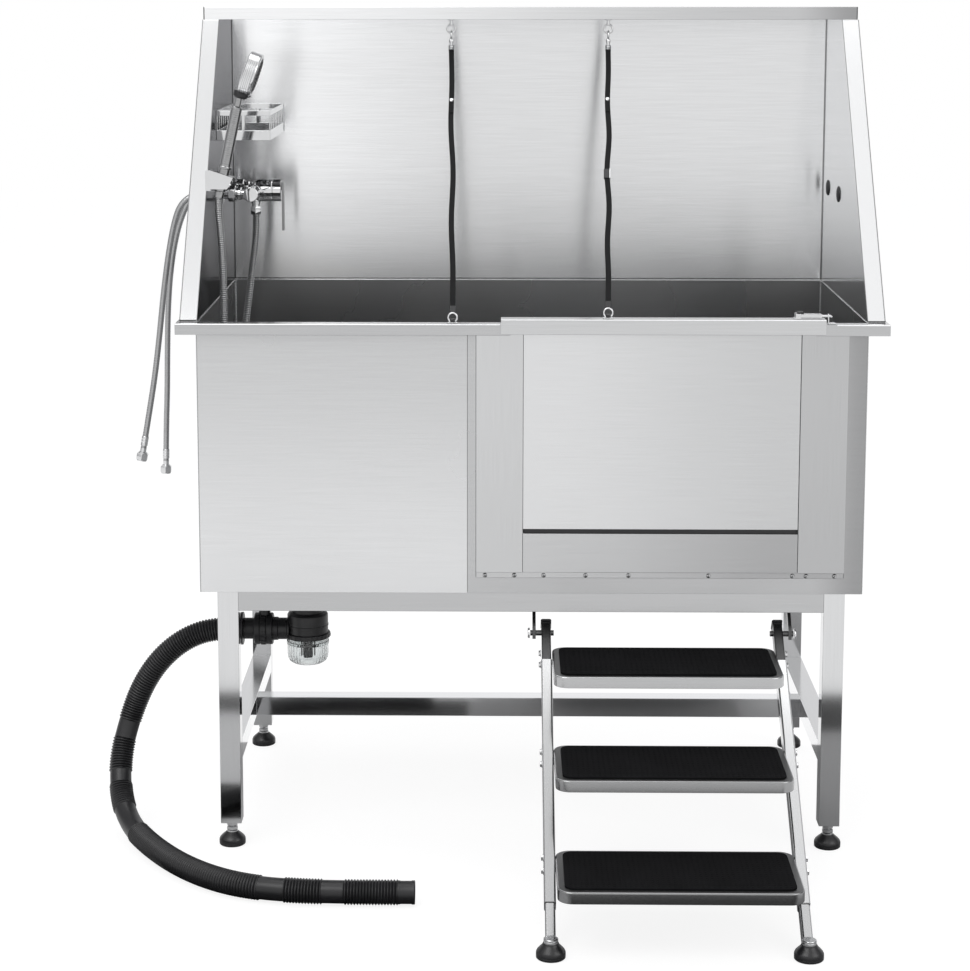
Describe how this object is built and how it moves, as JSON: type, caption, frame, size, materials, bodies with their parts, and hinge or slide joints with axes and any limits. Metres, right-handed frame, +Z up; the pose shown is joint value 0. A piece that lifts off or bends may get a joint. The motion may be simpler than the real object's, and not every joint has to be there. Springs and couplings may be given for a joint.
{
  "type": "pet bathtub",
  "caption": "Raised stainless steel pet grooming bath with splash walls, lift-up side door, mixer and hand shower, drain hose and a hook-on folding step ladder.",
  "frame": {"origin": "on the floor under the middle of the tub's rim rectangle", "axes": "+X along the tub to the right as seen from the door side, +Y into the depth away from the door, +Z up"},
  "size_m": [1.4327, 1.192, 1.5378],
  "materials": {
    "brushed_sheet": "brushed stainless sheet",
    "polished_sheet": "bright polished stainless sheet",
    "stand_tube": "satin stainless tube",
    "bright_steel": "bright steel",
    "chrome": "polished chrome",
    "black_rubber": "matte black rubber",
    "black_plastic": "matte black plastic",
    "clear_plastic": "clear plastic",
    "webbing": "woven black webbing",
    "foot_plastic": "black nylon",
    "braid": "braided stainless"
  },
  "bodies": {
    "root": {"caddy": "chrome", "door_posts": "brushed_sheet", "door_sill": "brushed_sheet", "drain_flange": "bright_steel", "drain_hose": "black_plastic", "drain_hose_cuff": "black_plastic", "drain_union": "black_plastic", "front_legs": "stand_tube", "front_panel_left": "brushed_sheet", "front_panel_right": "brushed_sheet", "hole_plugs": "black_rubber", "ladder_brackets": "black_plastic", "latch_keeper": "bright_steel", "lower_rails": "stand_tube", "mixer_body": "chrome", "mixer_unions": "chrome", "rear_legs": "stand_tube", "rim_front": "polished_sheet", "rim_sides_and_back": "polished_sheet", "shower_holder": "chrome", "shower_hose": "braid", "sill_screws": "bright_steel", "splash_back": "brushed_sheet", "splash_left": "polished_sheet", "splash_right": "polished_sheet", "strap_fittings": "bright_steel", "strap_left": "webbing", "strap_right": "webbing", "supply_hose_far": "braid", "supply_hose_near": "braid", "supply_hose_nuts": "chrome", "top_bar": "polished_sheet", "top_rails": "stand_tube", "trap_body": "black_plastic", "tub_end_walls": "brushed_sheet", "tub_floor": "brushed_sheet", "tub_wall_back": "brushed_sheet"},
    "door": {"door_panel": "brushed_sheet", "door_cap": "polished_sheet", "door_seal": "black_rubber", "latch_base": "bright_steel", "door_strap_ring": "bright_steel"},
    "latch": {"latch_lever": "bright_steel"},
    "mixer_cap": {"mixer_cap": "chrome"},
    "mixer_lever": {"mixer_lever": "chrome"},
    "hand_shower": {"hand_shower_handle": "bright_steel", "hand_shower_head": "bright_steel"},
    "ladder": {"ladder_stringers": "stand_tube", "ladder_treads": "stand_tube", "ladder_mats": "black_rubber", "ladder_bolts": "bright_steel", "ladder_end_caps": "black_plastic"},
    "ladder_legs": {"ladder_sliding_legs": "stand_tube", "ladder_feet": "black_rubber"},
    "trap_cup": {"trap_cup": "clear_plastic"},
    "strainer": {"drain_strainer": "bright_steel"},
    "foot_front_left": {"leveling_foot_front_left": "foot_plastic"},
    "foot_front_right": {"leveling_foot_front_right": "foot_plastic"},
    "foot_rear_left": {"leveling_foot_rear_left": "foot_plastic"},
    "foot_rear_right": {"leveling_foot_rear_right": "foot_plastic"}
  },
  "joints": [
    {"name": "door_lift", "type": "slide", "parent": "root", "child": "door", "axis": [0, 0, 1], "range_m": [0, 0.36], "deforming": ["strap_right"]},
    {"name": "latch_open", "type": "hinge", "parent": "door", "child": "latch", "pos_m": [0.473, -0.33, 0.998], "axis": [0, -1, 0], "range_deg": [0, 100]},
    {"name": "mixer_temperature", "type": "hinge", "parent": "root", "child": "mixer_cap", "pos_m": [-0.5057, 0.165, 1.178], "axis": [1, 0, 0], "range_deg": [-45, 45]},
    {"name": "mixer_flow", "type": "hinge", "parent": "mixer_cap", "child": "mixer_lever", "pos_m": [-0.4937, 0.165, 1.192], "axis": [0, -1, 0], "range_deg": [0, 20]},
    {"name": "hand_shower_lift", "type": "slide", "parent": "root", "child": "hand_shower", "axis": [0.2107, 0, 0.9776], "range_m": [0, 0.25], "deforming": ["shower_hose"]},
    {"name": "ladder_swing", "type": "hinge", "parent": "root", "child": "ladder", "pos_m": [0.2405, -0.298, 0.406], "axis": [-1, 0, 0], "range_deg": [0, 60]},
    {"name": "ladder_leg_slide", "type": "slide", "parent": "ladder", "child": "ladder_legs", "axis": [0, 0.7865, 0.6176], "range_m": [0, 0.03]},
    {"name": "trap_cup_removal", "type": "slide", "parent": "root", "child": "trap_cup", "axis": [0, 0, -1], "range_m": [0, 0.05]},
    {"name": "strainer_lift", "type": "slide", "parent": "root", "child": "strainer", "axis": [0, 0, 1], "range_m": [0, 0.03]},
    {"name": "foot_front_left_adjust", "type": "slide", "parent": "root", "child": "foot_front_left", "axis": [0, 0, -1], "range_m": [0, 0.02]},
    {"name": "foot_front_right_adjust", "type": "slide", "parent": "root", "child": "foot_front_right", "axis": [0, 0, -1], "range_m": [0, 0.02]},
    {"name": "foot_rear_left_adjust", "type": "slide", "parent": "root", "child": "foot_rear_left", "axis": [0, 0, -1], "range_m": [0, 0.02]},
    {"name": "foot_rear_right_adjust", "type": "slide", "parent": "root", "child": "foot_rear_right", "axis": [0, 0, -1], "range_m": [0, 0.02]}
  ]
}
